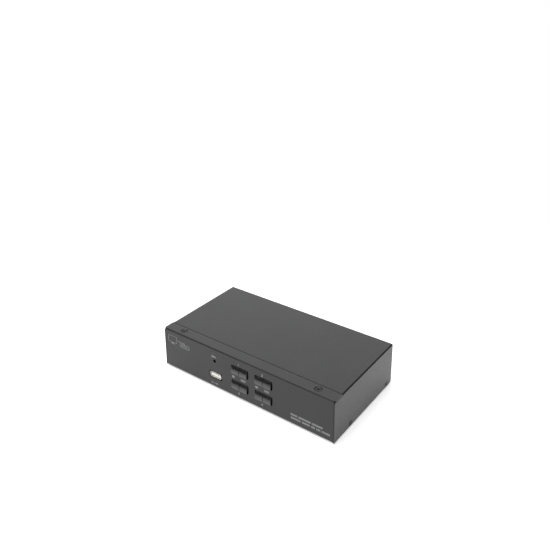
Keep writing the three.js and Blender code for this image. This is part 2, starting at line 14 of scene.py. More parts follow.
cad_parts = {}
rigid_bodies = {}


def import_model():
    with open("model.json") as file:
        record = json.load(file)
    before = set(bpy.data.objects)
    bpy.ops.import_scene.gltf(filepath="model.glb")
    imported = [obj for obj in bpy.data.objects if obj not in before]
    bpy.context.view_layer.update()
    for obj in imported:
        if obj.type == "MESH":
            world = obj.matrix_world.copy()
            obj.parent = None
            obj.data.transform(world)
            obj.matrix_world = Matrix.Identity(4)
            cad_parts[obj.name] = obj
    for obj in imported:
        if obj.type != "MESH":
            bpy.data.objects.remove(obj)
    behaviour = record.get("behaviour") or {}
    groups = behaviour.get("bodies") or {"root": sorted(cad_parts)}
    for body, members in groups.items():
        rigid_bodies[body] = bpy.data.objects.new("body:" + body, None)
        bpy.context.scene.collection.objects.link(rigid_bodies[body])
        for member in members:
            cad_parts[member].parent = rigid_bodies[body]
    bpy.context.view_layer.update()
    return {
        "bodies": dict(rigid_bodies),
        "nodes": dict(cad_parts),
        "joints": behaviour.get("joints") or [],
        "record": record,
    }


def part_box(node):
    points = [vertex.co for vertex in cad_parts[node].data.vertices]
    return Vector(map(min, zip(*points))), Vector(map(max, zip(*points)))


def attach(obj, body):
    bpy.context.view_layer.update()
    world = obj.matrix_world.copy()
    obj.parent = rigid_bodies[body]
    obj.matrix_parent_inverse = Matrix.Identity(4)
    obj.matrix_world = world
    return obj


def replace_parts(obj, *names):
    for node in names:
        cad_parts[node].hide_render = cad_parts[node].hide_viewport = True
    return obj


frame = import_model()

MM = 0.001
WHITE = (1.0, 1.0, 1.0, 1.0)
CASE = "case"
PORTS = (1, 2, 3, 4)
SIDES = ("left", "right")


# ------------------------------------------------------------------ places taken from the frame

tray_low, tray_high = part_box("chassis_tray")
FRONT_Y = tray_low.y
REAR_Y = tray_high.y
SHELL_BOTTOM = tray_low.z
LEFT_EDGE = tray_low.x / MM
INK_THICKNESS = 0.04


def centre(node):
    low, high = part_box(node)
    return (low + high) / 2


def front_middle(node):
    """The middle of the end of a node that looks to -Y."""
    middle = centre(node)
    return Vector((middle.x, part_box(node)[0].y, middle.z))


def rear_middle(node):
    """The middle of the end of a node that looks to +Y."""
    middle = centre(node)
    return Vector((middle.x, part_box(node)[1].y, middle.z))


def facing_front(origin):
    """Places (across, up, inwards) millimetres from a point on a face that looks to -Y."""
    return lambda u, v, w: origin + Vector((u, w, v)) * MM


def facing_rear(origin):
    """Places (across, up, inwards) millimetres from a point on a face that looks to +Y."""
    return lambda u, v, w: origin + Vector((-u, -w, v)) * MM


def out_to_rear(origin):
    """Places (across, up, outwards) millimetres from the inner end of a socket that looks to +Y."""
    return lambda u, v, w: origin + Vector((-u, w, v)) * MM


on_front = facing_front(Vector((0, FRONT_Y - INK_THICKNESS * MM, SHELL_BOTTOM)))
on_rear = facing_rear(Vector((0, REAR_Y + INK_THICKNESS * MM, SHELL_BOTTOM)))


# ------------------------------------------------------------------ camera, floor and light

CAMERA_PLACE = Vector((0.3445, -0.4696, 0.4111))
CAMERA_TARGET = Vector((-0.347, 0.4725, 0.020))
CAMERA_ROLL_DEGREES = -0.30
CAMERA_LENS = 42.36
CAMERA_SHIFT = -0.1742
SENSOR_WIDTH = 36.0
CLIP_START = 0.01
CLIP_END = 500.0

# Half the width of the floor, the radii between which it fades away, and the light it gives off.
FLOOR_HALF = 2.0
FLOOR_FADE = (0.15, 0.6)
FLOOR_GLOW = 0.45


def make_camera():
    data = bpy.data.cameras.new("camera")
    data.lens = CAMERA_LENS
    data.sensor_width = SENSOR_WIDTH
    data.shift_y = CAMERA_SHIFT
    data.clip_start = CLIP_START
    data.clip_end = CLIP_END
    camera = bpy.data.objects.new("camera", data)
    bpy.context.scene.collection.objects.link(camera)
    look = (CAMERA_TARGET - CAMERA_PLACE).to_track_quat("-Z", "Y").to_matrix().to_4x4()
    roll = Matrix.Rotation(math.radians(CAMERA_ROLL_DEGREES), 4, "Z")
    camera.matrix_world = Matrix.Translation(CAMERA_PLACE) @ look @ roll
    bpy.context.scene.camera = camera


class Nodes:
    """Short calls for building a node tree."""

    def __init__(self, tree):
        self.tree = tree
        self.tree.nodes.clear()

    def add(self, kind, **values):
        node = self.tree.nodes.new(kind)
        for name, value in values.items():
            setattr(node, name, value)
        return node

    def get(self, kind):
        return next(node for node in self.tree.nodes if node.bl_idname == kind)

    def link(self, source, target):
        self.tree.links.new(source, target)

    def add_numbers(self, first, second):
        node = self.add("ShaderNodeMath", operation="ADD")
        self.link(first, node.inputs[0])
        if isinstance(second, bpy.types.NodeSocket):
            self.link(second, node.inputs[1])
        else:
            node.inputs[1].default_value = second
        return node.outputs[0]

    def smooth_step(self, value, start, end, low=0.0, high=1.0):
        node = self.add("ShaderNodeMapRange", interpolation_type="SMOOTHERSTEP")
        for name, number in zip(("From Min", "From Max", "To Min", "To Max"), (start, end, low, high)):
            node.inputs[name].default_value = number
        self.link(value, node.inputs["Value"])
        return node.outputs["Result"]


# Each light of the studio is a round patch of the sky: its direction, the angle from its middle
# at which it starts to fade, the angle at which it has gone, and its strength. The rest of the
# sky gives an even light of the base strength. The camera itself sees a white backdrop.
STUDIO_LIGHTS = (
    ((-0.08, -0.25, 0.96), 13, 37, 5.3),
    ((-0.50, 0.62, 0.60), 14, 40, 1.7),
)
STUDIO_BASE = 0.05


def make_world():
    world = bpy.data.worlds.new("studio")
    bpy.context.scene.world = world
    world.use_nodes = True
    nodes = Nodes(world.node_tree)
    direction = nodes.add("ShaderNodeTexCoord").outputs["Generated"]
    total = STUDIO_BASE
    for axis, inner, outer, strength in STUDIO_LIGHTS:
        facing = nodes.add("ShaderNodeVectorMath", operation="DOT_PRODUCT")
        nodes.link(direction, facing.inputs[0])
        facing.inputs[1].default_value = Vector(axis).normalized()
        start = math.cos(math.radians(outer))
        end = math.cos(math.radians(inner))
        patch = nodes.smooth_step(facing.outputs["Value"], start, end, 0.0, strength)
        total = nodes.add_numbers(patch, total)
    lights = nodes.add("ShaderNodeBackground")
    nodes.link(total, lights.inputs["Strength"])
    backdrop = nodes.add("ShaderNodeBackground")
    backdrop.inputs["Color"].default_value = WHITE
    mix = nodes.add("ShaderNodeMixShader")
    nodes.link(nodes.add("ShaderNodeLightPath").outputs["Is Camera Ray"], mix.inputs[0])
    nodes.link(lights.outputs[0], mix.inputs[1])
    nodes.link(backdrop.outputs[0], mix.inputs[2])
    nodes.link(mix.outputs[0], nodes.add("ShaderNodeOutputWorld").inputs["Surface"])


def make_floor(material):
    mesh = bpy.data.meshes.new("floor")
    corners = [(-FLOOR_HALF, -FLOOR_HALF), (FLOOR_HALF, -FLOOR_HALF),
               (FLOOR_HALF, FLOOR_HALF), (-FLOOR_HALF, FLOOR_HALF)]
    mesh.from_pydata([(x, y, 0.0) for x, y in corners], [], [(0, 1, 2, 3)])
    mesh.materials.append(material)
    floor = bpy.data.objects.new("floor", mesh)
    bpy.context.scene.collection.objects.link(floor)


# ------------------------------------------------------------------ materials

# A noise over the object's own space, with its scale in cycles per metre.
Noise = namedtuple("Noise", "scale detail stretch", defaults=(3.0, (1, 1, 1)))

# The parts of a noise, between 0 and 1, over which a colour and a number run from low to high.
COLOUR_RUN = (0.35, 0.65)
NUMBER_RUN = (0.3, 0.7)


def start_material(name, **sockets):
    """A Principled material. Sockets given here stay constant over the surface."""
    material = bpy.data.materials.new(name)
    material.use_nodes = True
    nodes = Nodes(material.node_tree)
    shader = nodes.add("ShaderNodeBsdfPrincipled")
    for socket, value in sockets.items():
        shader.inputs[socket.replace("_", " ")].default_value = value
    nodes.link(shader.outputs[0], nodes.add("ShaderNodeOutputMaterial").inputs["Surface"])
    return material, nodes, shader


def noise_value(nodes, noise):
    place = nodes.add("ShaderNodeTexCoord").outputs["Object"]
    mapping = nodes.add("ShaderNodeMapping")
    mapping.inputs["Scale"].default_value = noise.stretch
    nodes.link(place, mapping.inputs["Vector"])
    texture = nodes.add("ShaderNodeTexNoise")
    texture.inputs["Scale"].default_value = noise.scale
    texture.inputs["Detail"].default_value = noise.detail
    nodes.link(mapping.outputs[0], texture.inputs["Vector"])
    return texture.outputs["Fac"]


def colour_between(nodes, noise, low, high):
    """A colour that runs from low to high over the middle of a noise."""
    node = nodes.add("ShaderNodeValToRGB")
    for stop, position, colour in zip(node.color_ramp.elements, COLOUR_RUN, (low, high)):
        stop.position = position
        stop.color = (*colour, 1.0)
    nodes.link(noise_value(nodes, noise), node.inputs[0])
    return node.outputs[0]


def number_between(nodes, noise, low, high):
    """A number that runs from low to high over the middle of a noise."""
    return nodes.smooth_step(noise_value(nodes, noise), *NUMBER_RUN, low, high)


def bent_normal(nodes, noise, depth, strength):
    """A normal that follows the slopes of a noise. The depth is in millimetres."""
    node = nodes.add("ShaderNodeBump")
    node.inputs["Strength"].default_value = strength
    node.inputs["Distance"].default_value = depth * MM
    nodes.link(noise_value(nodes, noise), node.inputs["Height"])
    return node.outputs[0]


def surface(name, colour, roughness, relief, **sockets):
    """A material whose colour, roughness and relief each follow a noise.

    The colour and the roughness are (noise, low, high), and the relief is (noise, depth, strength).
    """
    material, nodes, shader = start_material(name, **sockets)
    nodes.link(colour_between(nodes, *colour), shader.inputs["Base Color"])
    nodes.link(number_between(nodes, *roughness), shader.inputs["Roughness"])
    nodes.link(bent_normal(nodes, *relief), shader.inputs["Normal"])
    return material


def moulded_plastic(name, low, high, roughness):
    grain = Noise(1500)
    return surface(
        name, colour=(Noise(250), low, high), roughness=(grain, *roughness),
        relief=(grain, 0.03, 0.4), IOR=1.49)


def plated_metal(name, low, high, roughness):
    lines = Noise(900, stretch=(1, 1, 6))
    return surface(
        name, colour=(Noise(300, 4), low, high), roughness=(lines, *roughness),
        relief=(lines, 0.015, 0.5), Metallic=1.0)


PAINT = surface(
    "black_powder_coat", IOR=1.5,
    colour=(Noise(35, 2), (0.0080, 0.0082, 0.0085), (0.0115, 0.0117, 0.0120)),
    roughness=(Noise(900), 0.30, 0.38),
    relief=(Noise(2200, 2), 0.03, 0.4))
ZINC = surface(
    "black_zinc", IOR=1.45,
    colour=(Noise(900, 4), (0.006, 0.006, 0.007), (0.014, 0.014, 0.014)),
    roughness=(Noise(2500), 0.22, 0.36),
    relief=(Noise(3000, 2), 0.02, 0.4))
RUBBER = surface(
    "foot_rubber", Specular_IOR_Level=0.35,
    colour=(Noise(400, 4), (0.010, 0.010, 0.010), (0.022, 0.021, 0.020)),
    roughness=(Noise(1200, 2), 0.75, 0.92),
    relief=(Noise(1800), 0.06, 0.6))
WEAVE = Noise(1400, 2, stretch=(1, 8, 1))
MASK = surface(
    "solder_mask", IOR=1.5,
    colour=(WEAVE, (0.006, 0.040, 0.018), (0.012, 0.075, 0.030)),
    roughness=(Noise(500, 2), 0.28, 0.42),
    relief=(WEAVE, 0.03, 0.5))
BUTTON = surface(
    "gloss_black_plastic", IOR=1.78,
    colour=(Noise(300, 2), (0.0025, 0.0025, 0.003), (0.0045, 0.0045, 0.005)),
    roughness=(Noise(350, 4, stretch=(1, 1, 3)), 0.29, 0.36),
    relief=(Noise(260, 1), 0.03, 0.2))
INK = surface(
    "screen_ink", IOR=1.45,
    colour=(Noise(1800), (0.28, 0.283, 0.287), (0.38, 0.384, 0.39)),
    roughness=(Noise(1500, 2), 0.45, 0.65),
    relief=(Noise(2500, 2), 0.01, 0.5))
BLACK_PLASTIC = moulded_plastic(
    "moulded_black", (0.009, 0.009, 0.009), (0.016, 0.016, 0.016), (0.42, 0.6))
CREAM = moulded_plastic("moulded_cream", (0.92, 0.89, 0.81), (0.97, 0.95, 0.88), (0.35, 0.5))
NICKEL = plated_metal("nickel_plate", (0.84, 0.82, 0.77), (0.95, 0.93, 0.88), (0.20, 0.36))
BRASS = plated_metal("turned_brass", (0.70, 0.50, 0.20), (0.84, 0.64, 0.30), (0.22, 0.36))
GOLD = plated_metal("contact_gold", (0.90, 0.62, 0.22), (1.00, 0.76, 0.36), (0.18, 0.30))

SLOT_MATERIALS = {
    "black_paint": PAINT, "black_screw": ZINC, "rubber": RUBBER, "circuit_board": MASK,
    "black_plastic": BLACK_PLASTIC, "brass": BRASS, "button_plastic": BUTTON,
    "plated_steel": NICKEL, "cream_plastic": CREAM,
}


def studio_floor():
    """A pale floor that fades away towards its rim, so that the far floor is not mirrored."""
    material, nodes, shader = start_material(
        "studio_floor", Roughness=0.9, Specular_IOR_Level=0.0,
        Emission_Color=WHITE, Emission_Strength=FLOOR_GLOW)
    tone = colour_between(nodes, Noise(2), (0.90, 0.90, 0.90), (0.92, 0.92, 0.92))
    nodes.link(tone, shader.inputs["Base Color"])
    radius = nodes.add("ShaderNodeVectorMath", operation="LENGTH")
    nodes.link(nodes.add("ShaderNodeTexCoord").outputs["Object"], radius.inputs[0])
    faded = nodes.smooth_step(radius.outputs["Value"], *FLOOR_FADE)
    mix = nodes.add("ShaderNodeMixShader")
    nodes.link(faded, mix.inputs[0])
    nodes.link(shader.outputs[0], mix.inputs[1])
    nodes.link(nodes.add("ShaderNodeBsdfTransparent").outputs[0], mix.inputs[2])
    nodes.link(mix.outputs[0], nodes.get("ShaderNodeOutputMaterial").inputs["Surface"])
    return material


def dress_cad_nodes():
    for entry in frame["record"]["subparts"]:
        mesh = frame["nodes"][entry["node"]].data
        mesh.materials.clear()
        mesh.materials.append(SLOT_MATERIALS[entry["material_slot"]])
        smooth_folds(mesh)


# ------------------------------------------------------------------ smooth shading

SMOOTH_ANGLE = 35.0
SAME_PLACE = 0.002 * MM
SHORTEST_NORMAL = 1e-12


def smooth_folds(mesh):
    """Shades folds and turned faces smoothly by their normals alone. The vertices stay as they are."""
    count = len(mesh.polygons)
    normals = np.zeros(count * 3)
    areas = np.zeros(count)
    mesh.polygons.foreach_get("normal", normals)
    mesh.polygons.foreach_get("area", areas)
    normals = normals.reshape(-1, 3)
    mesh.polygons.foreach_set("use_smooth", [True] * count)
    limit = math.cos(math.radians(SMOOTH_ANGLE))
    meeting = {}
    places = [tuple(round(c / SAME_PLACE) for c in v.co) for v in mesh.vertices]
    for polygon in mesh.polygons:
        for vertex in polygon.vertices:
            meeting.setdefault(places[vertex], []).append(polygon.index)
    shaded = np.zeros((len(mesh.loops), 3))
    for polygon in mesh.polygons:
        own = normals[polygon.index]
        for loop in polygon.loop_indices:
            near = meeting[places[mesh.loops[loop].vertex_index]]
            close = [i for i in near if normals[i] @ own > limit]
            total = (normals[close] * areas[close][:, None]).sum(0)
            shaded[loop] = total / max(np.linalg.norm(total), SHORTEST_NORMAL)
    mesh.normals_split_custom_set(shaded.tolist())


# ------------------------------------------------------------------ piece making

def add_piece(name, bm, material, body=CASE):
    """Ends a piece: its faces turned outwards, shaded, painted and tied to a body."""
    bmesh.ops.recalc_face_normals(bm, faces=bm.faces[:])
    mesh = bpy.data.meshes.new(name)
    bm.to_mesh(mesh)
    bm.free()
    mesh.materials.append(material)
    smooth_folds(mesh)
    piece = bpy.data.objects.new(name, mesh)
    bpy.context.scene.collection.objects.link(piece)
    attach(piece, body)
    return piece


def add_loft(bm, loops, ring=False):
    """Adds a closed skin over loops of points. It has two end faces, or as a ring it meets itself."""
    rows = [[bm.verts.new(point) for point in loop] for loop in loops]
    count = len(rows[0])
    pairs = list(zip(rows, rows[1:]))
    if ring:
        pairs.append((rows[-1], rows[0]))
    else:
        bm.faces.new(rows[0][::-1])
        bm.faces.new(rows[-1])
    for near, far in pairs:
        for i in range(count):
            j = (i + 1) % count
            bm.faces.new((near[i], near[j], far[j], far[i]))


def placed(rows, place):
    """Loops of points in the model, from rows that are each an outline of points (u, v) and its depth."""
    return [[place(u, v, w) for u, v in outline] for outline, w in rows]


def add_prism(bm, outline, place, start, end):
    """Adds a closed prism: an outline between two depths."""
    add_loft(bm, placed([(outline, start), (outline, end)], place))


def add_frame(bm, outer, inner, place, start, end):
    """Adds a ring or a tube between two outlines with the same number of points."""
    rows = ((outer, start), (inner, start), (inner, end), (outer, end))
    add_loft(bm, placed(rows, place), ring=True)


def bar(u, v, width, height):
    return [(u, v), (u + width, v), (u + width, v + height), (u, v + height)]


def disc(u, v, radius, steps=24):
    """A circle about (u, v) that starts at its lowest point."""
    turns = [2 * math.pi * (i / steps - 0.25) for i in range(steps)]
    return [(u + radius * math.cos(t), v + radius * math.sin(t)) for t in turns]


def rounded(u, v, width, height, radius, steps=5):
    """A rounded rectangle with its lower left corner at (u, v)."""
    points = []
    corners = ((width - radius, radius, -90), (width - radius, height - radius, 0),
               (radius, height - radius, 90), (radius, radius, 180))
    for cu, cv, start in corners:
        for step in range(steps + 1):
            angle = math.radians(start + 90 * step / steps)
            points.append((u + cu + radius * math.cos(angle), v + cv + radius * math.sin(angle)))
    return points


def centred_rounded(width, height, radius):
    return rounded(-width / 2, -height / 2, width, height, radius)


# ------------------------------------------------------------------ button caps

# A cap has a rib along its top and its bottom, behind the panel, with its depths measured from the
# panel's face. The crown is how far the top of the cap's face falls back from its proudest line,
# which lies below the middle by the lean, a part of half the height.
CAP_RIB = 1.3
CAP_RIB_DEPTHS = (1.6, 2.8)
CAP_STEM_RADIUS = 1.5
CAP_STEM_LENGTH = 2.3
CAP_STEM_OVERLAP = 0.4
CAP_CROWN = 1.7
CAP_LEAN = 0.4
CAP_FILLET = 0.4
FILLET_STEPS = 4
FACE_STEPS_UP = 16
FACE_STEPS_ACROSS = 2


def crown_depth(v, half):
    """How far a face has fallen back at a height above its middle. It is proudest below the middle."""
    proudest = -CAP_LEAN * half
    return CAP_CROWN * ((v - proudest) / (half - proudest)) ** 2


def across_face(half, steps):
    """Places from one edge of a face to the other, each with how far the rounded edge has fallen back."""
    edge = []
    for step in range(FILLET_STEPS + 1):
        angle = math.radians(90 * step / FILLET_STEPS)
        edge.append((half - CAP_FILLET * (1 - math.sin(angle)), CAP_FILLET * (1 - math.cos(angle))))
    flat = half - CAP_FILLET
    middle = [(flat * (2 * step / steps - 1), 0.0) for step in range(1, steps)]
    return [(-place, back) for place, back in reversed(edge)] + middle + edge


def cap_outline(height, back, ribs, setback):
    """A cap seen from its side, as points (v, w): up the face, over the rib, and back underneath."""
    half = height / 2
    flat = half - CAP_FILLET
    face = []
    for v, fallen in across_face(half, FACE_STEPS_UP):
        crown = crown_depth(min(max(v, -flat), flat), flat)
        face.append((v, crown + fallen + setback))
    rib_front, rib_back = ribs
    rib = half + CAP_RIB
    upper = [(half, rib_front), (rib, rib_front), (rib, rib_back), (half, rib_back), (half, back)]
    return face + upper + [(-v, w) for v, w in reversed(upper)]


def make_cap(port, side):
    node = f"button_cap_{port}_{side}"
    low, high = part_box(node)
    size = (high - low) / MM
    place = facing_front(front_middle(node))
    proud = (FRONT_Y - low.y) / MM
    ribs = [proud + depth for depth in CAP_RIB_DEPTHS]
    back = size.y - CAP_STEM_LENGTH
    height = size.z - 2 * CAP_RIB
    bm = bmesh.new()
    loops = []
    for u, setback in across_face(size.x / 2, FACE_STEPS_ACROSS):
        loops.append([place(u, v, w) for v, w in cap_outline(height, back, ribs, setback)])
    add_loft(bm, loops)
    add_prism(bm, disc(0, 0, CAP_STEM_RADIUS), place, back - CAP_STEM_OVERLAP, size.y)
    cap = add_piece(f"moulded_cap_{port}_{side}", bm, BUTTON, f"button_{port}_{side}")
    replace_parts(cap, node)


# ------------------------------------------------------------------ insides of the sockets

CONTACT_THICKNESS = 0.06
USB_A_CONTACTS = {"count": 4, "pitch": 2.3, "width": 1.1}


def contact_row(bm, place, v, depths, count, pitch, width):
    """Flat contacts side by side on one face of a tongue, between two depths."""
    for i in range(count):
        u = pitch * (i - (count - 1) / 2)
        outline = bar(u - width / 2, v - CONTACT_THICKNESS / 2, width, CONTACT_THICKNESS)
        add_prism(bm, outline, place, *depths)


def level_bar(width, height, bottom):
    """A bar across the middle of a socket, with its lower edge at a height."""
    return bar(-width / 2, bottom, width, height)


# The front socket, measured from the middle of its mouth. The hole is the shell inside its walls.
FRONT_WALL = 0.35
FRONT_SHELL = {"width": 14.0, "height": 5.6, "radius": 1.4}
FRONT_HOLE = {"width": 13.3, "height": 4.9, "radius": 1.05}
FRONT_BASE_LENGTH = 3.4
FRONT_BASE_PLAY = 0.3
FRONT_BLADE = {"width": 12.4, "height": 3.0, "radius": 0.9}
FRONT_BLADE_BOTTOM = -1.9
FRONT_BLADE_START = 0.5
FRONT_CONTACT_START = 1.0
SPRING_TAB = {"u": 3.4, "width": 1.8, "thickness": 0.25, "depths": (2.2, 7.0)}


def make_front_shell(place, depth):
    """A cup of thin metal with round corners."""
    outer = centred_rounded(**FRONT_SHELL)
    inner = centred_rounded(**FRONT_HOLE)
    rows = ((outer, depth), (outer, 0.0), (inner, 0.0), (inner, depth - FRONT_WALL))
    shell = bmesh.new()
    add_loft(shell, placed(rows, place))
    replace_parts(add_piece("front_usb_round_shell", shell, NICKEL), "front_usb_shell")


def make_front_blade(place, depth, base_start):
    base_width = FRONT_HOLE["width"] - 2 * FRONT_BASE_PLAY
    base_height = FRONT_HOLE["height"] - 2 * FRONT_BASE_PLAY
    base = centred_rounded(base_width, base_height, FRONT_HOLE["radius"])
    blade = rounded(-FRONT_BLADE["width"] / 2, FRONT_BLADE_BOTTOM, **FRONT_BLADE)
    plastic = bmesh.new()
    add_prism(plastic, base, place, base_start, depth - 2 * FRONT_WALL)
    add_prism(plastic, blade, place, FRONT_BLADE_START, base_start + FRONT_WALL)
    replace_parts(add_piece("front_usb_blade", plastic, CREAM), "front_usb_tongue")


def make_front_contacts(place, base_start):
    contacts = bmesh.new()
    below = FRONT_BLADE_BOTTOM - CONTACT_THICKNESS / 2
    contact_row(contacts, place, below, (FRONT_CONTACT_START, base_start), **USB_A_CONTACTS)
    add_piece("front_usb_contacts", contacts, GOLD)


def make_front_spring_tabs(place):
    """Two springs on the floor of the shell and two on its ceiling."""
    tabs = bmesh.new()
    ceiling = FRONT_HOLE["height"] / 2
    for u in (-SPRING_TAB["u"], SPRING_TAB["u"]):
        for v in (-ceiling, ceiling - SPRING_TAB["thickness"]):
            outline = bar(u - SPRING_TAB["width"] / 2, v, SPRING_TAB["width"], SPRING_TAB["thickness"])
            add_prism(tabs, outline, place, *SPRING_TAB["depths"])
    add_piece("front_usb_spring_tabs", tabs, NICKEL)


def make_front_usb():
    low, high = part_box("front_usb_shell")
    place = facing_front(front_middle("front_usb_shell"))
    depth = (high.y - low.y) / MM
    base_start = depth - FRONT_BASE_LENGTH
    make_front_shell(place, depth)
    make_front_blade(place, depth, base_start)
    make_front_contacts(place, base_start)
    make_front_spring_tabs(place)


# Each row of a video socket: its number of contacts and the height of the tongue's face.
HDMI_ROWS = ((10, 0.6), (9, -0.6))
HDMI_CONTACTS = {"pitch": 1.0, "width": 0.45, "depths": (0.4, 5.5)}
HDMI_TONGUES = [f"computer_hdmi_tongue_{port}" for port in PORTS] + ["console_hdmi_tongue"]


def make_hdmi_contacts():
    bm = bmesh.new()
    for tongue in HDMI_TONGUES:
        place = facing_rear(rear_middle(tongue))
        for count, face in HDMI_ROWS:
            v = face + math.copysign(CONTACT_THICKNESS / 2, face)
            contact_row(bm, place, v, count=count, **HDMI_CONTACTS)
    add_piece("hdmi_contacts", bm, GOLD)


# The inside of a USB-B socket, measured outwards and upwards from the lower inner edge of its shell.
USB_B_BASE = {"width": 10.8, "height": 7.6, "bottom": 0.7}
USB_B_BASE_DEPTHS = (0.5, 1.6)
USB_B_POST = {"width": 5.6, "height": 3.2, "radius": 0.3}
USB_B_POST_BOTTOM = 3.6
USB_B_POST_DEPTHS = (1.7, 13.2)
USB_B_CONTACTS = {"count": 2, "pitch": 2.5, "width": 1.0, "depths": (5.0, 12.9)}


def make_usb_b_inserts():
    plastic, contacts = bmesh.new(), bmesh.new()
    post = rounded(-USB_B_POST["width"] / 2, USB_B_POST_BOTTOM, **USB_B_POST)
    post_top = USB_B_POST_BOTTOM + USB_B_POST["height"]
    for port in PORTS:
        low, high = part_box(f"computer_usb_shell_{port}")
        place = out_to_rear(Vector(((low.x + high.x) / 2, low.y, low.z)))
        add_prism(plastic, level_bar(**USB_B_BASE), place, *USB_B_BASE_DEPTHS)
        add_prism(plastic, post, place, *USB_B_POST_DEPTHS)
        for v in (USB_B_POST_BOTTOM - CONTACT_THICKNESS / 2, post_top + CONTACT_THICKNESS / 2):
            contact_row(contacts, place, v, **USB_B_CONTACTS)
    add_piece("usb_b_inserts", plastic, BLACK_PLASTIC)
    add_piece("usb_b_contacts", contacts, GOLD)


# One pocket of the double USB-A socket, measured from the middle of its floor at the mouth.
USB_A_POCKET_HEIGHT = 5.3
USB_A_WALL = 0.4
USB_A_BASE = {"width": 12.2, "height": 5.0, "bottom": 0.15}
USB_A_BASE_DEPTHS = (11.3, 11.9)
USB_A_TONGUE = {"width": 11.2, "height": 1.8, "bottom": 2.4}
USB_A_TONGUE_DEPTHS = (1.8, 11.2)
USB_A_CONTACT_DEPTHS = (2.2, 10.0)


def make_usb_a_tongues():
    low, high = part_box("console_usb_stack")
    lower_floor = low.z + USB_A_WALL * MM
    upper_floor = high.z - (USB_A_WALL + USB_A_POCKET_HEIGHT) * MM
    below_tongue = USB_A_TONGUE["bottom"] - CONTACT_THICKNESS / 2
    plastic, contacts = bmesh.new(), bmesh.new()
    for floor in (lower_floor, upper_floor):
        place = facing_rear(Vector(((low.x + high.x) / 2, high.y, floor)))
        add_prism(plastic, level_bar(**USB_A_BASE), place, *USB_A_BASE_DEPTHS)
        add_prism(plastic, level_bar(**USB_A_TONGUE), place, *USB_A_TONGUE_DEPTHS)
        contact_row(contacts, place, below_tongue, USB_A_CONTACT_DEPTHS, **USB_A_CONTACTS)
    add_piece("usb_a_tongues", plastic, CREAM)
    add_piece("usb_a_contacts", contacts, GOLD)


# Thin tubes: their two radii and the depths between which they run.
JACK_SLEEVE = {"outside": 1.78, "inside": 1.5, "start": 0.15, "end": 9.0}
CONSOLE_JACK_HEIGHTS = (3.8, 15.8)
POWER_PIN_PLATING = {"outside": 1.08, "inside": 1.005, "start": 1.2, "end": 8.5}
POWER_BORE_SLEEVE = {"outside": 3.08, "inside": 2.85, "start": 2.5, "end": 8.5}


def add_tube(bm, place, outside, inside, start, end):
    add_frame(bm, disc(0, 0, outside), disc(0, 0, inside), place, start, end)


def make_jack_sleeves():
    bm = bmesh.new()
    mouths = [rear_middle(f"computer_audio_jack_{port}") for port in PORTS]
    stack = rear_middle("console_audio_stack")
    stack_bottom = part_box("console_audio_stack")[0].z
    mouths += [Vector((stack.x, stack.y, stack_bottom + height * MM)) for height in CONSOLE_JACK_HEIGHTS]
    for mouth in mouths:
        add_tube(bm, facing_rear(mouth), **JACK_SLEEVE)
    add_piece("jack_sleeves", bm, NICKEL)


def make_power_contacts():
    place = facing_rear(rear_middle("power_jack"))
    bm = bmesh.new()
    add_tube(bm, place, **POWER_PIN_PLATING)
    add_tube(bm, place, **POWER_BORE_SLEEVE)
    add_piece("power_contacts", bm, NICKEL)


# ------------------------------------------------------------------ printed marks
# Bars and frames are (across, up, width, height) in millimetres: across from the place of their
# mark, and up from the lower edge of the panel.

FINEST_RADIUS = 0.05
# The gap after a word, in steps from stroke to stroke.
WORD_GAP = 1.2


def printed(name, place, shapes=(), frames=()):
    """A print on a panel, from outlines and from rings of two outlines."""
    bm = bmesh.new()
    for outline in shapes:
        add_prism(bm, outline, place, 0.0, INK_THICKNESS)
    for outer, inner in frames:
        add_frame(bm, outer, inner, place, 0.0, INK_THICKNESS)
    return add_piece(name, bm, INK)


def bars(middle, sizes):
    return [bar(middle + u, v, width, height) for u, v, width, height in sizes]


def outlined(middle, frame, radius, line):
    """The two outlines of a rounded frame that is drawn with a line of one width."""
    u, v, width, height = frame
    u += middle
    inner_radius = max(radius - line, FINEST_RADIUS)
    inner = rounded(u + line, v + line, width - 2 * line, height - 2 * line, inner_radius)
    return rounded(u, v, width, height, radius), inner


def strokes_of_words(start, up, height, words, pitch, stroke):
    """Stands in for a line of small words: upright strokes in groups, with no letters in them."""
    shapes = []
    for length in words:
        for i in range(length):
            shapes.append(bar(start + i * pitch, up, stroke, height))
        start += (length + WORD_GAP) * pitch
    return shapes


# The height of a digit over the size of Blender's own font, and how far its outline is swollen.
FONT_DIGIT_HEIGHT = 0.72
DIGIT_SWELL = 0.12


def print_digit(name, text, place, u, v, height):
    """A port number, from Blender's own plain font."""
    curve = bpy.data.curves.new(name, "FONT")
    curve.body = text
    curve.size = height / FONT_DIGIT_HEIGHT
    curve.align_x = "CENTER"
    curve.align_y = "CENTER"
    curve.extrude = INK_THICKNESS / 2
    curve.offset = DIGIT_SWELL
    text_object = bpy.data.objects.new(name, curve)
    bpy.context.scene.collection.objects.link(text_object)
    bpy.context.view_layer.update()
    shape = bpy.data.meshes.new_from_object(text_object)
    bpy.data.objects.remove(text_object)
    bm = bmesh.new()
    bm.from_mesh(shape)
    bmesh.ops.remove_doubles(bm, verts=bm.verts[:], dist=0.001)
    for vertex in bm.verts:
        x, y, z = vertex.co
        vertex.co = place(u + x, v + y, INK_THICKNESS / 2 - z)
    return add_piece(name, bm, INK)


